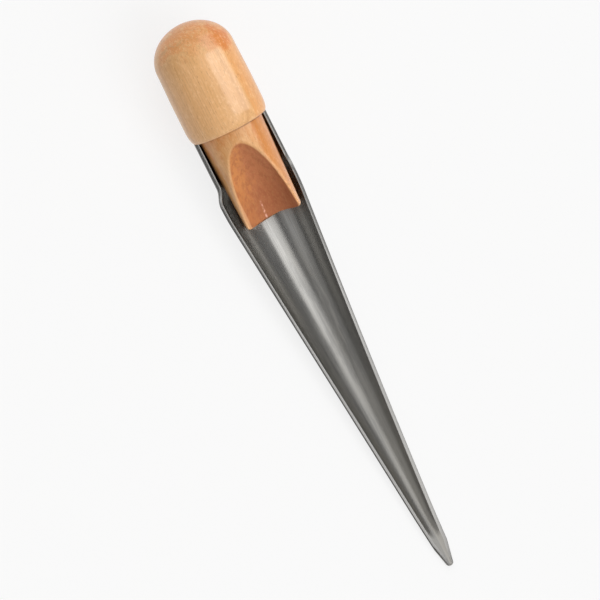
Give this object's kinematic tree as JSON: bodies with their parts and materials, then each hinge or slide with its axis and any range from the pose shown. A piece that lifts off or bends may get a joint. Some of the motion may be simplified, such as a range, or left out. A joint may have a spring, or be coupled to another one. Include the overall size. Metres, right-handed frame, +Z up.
{
  "type": "splicing fid",
  "caption": "Open gutter-shaped splicing fid: a tapered stainless sheet blade with a collar that holds a turned, dome-headed wooden handle with a scooped stem.",
  "frame": {"origin": "middle of the bounding box's underside, on the surface that the fid lies on, with the straight back of the trough on that surface", "axes": "+X along the back of the blade towards the tip, +Z up, out of the open side of the gutter, +Y across the blade"},
  "size_m": [0.2536, 0.0364, 0.0423],
  "materials": {
    "varnished_wood": "clear gloss varnish over light hardwood, more orange in the scoop and on the stem",
    "stainless_sheet": "satin, with fine polishing lines along the blade",
    "screw_steel": "plain machined steel"
  },
  "bodies": {
    "root": {"handle": "varnished_wood", "blade": "stainless_sheet", "fixing_screw": "screw_steel"}
  },
  "joints": []
}
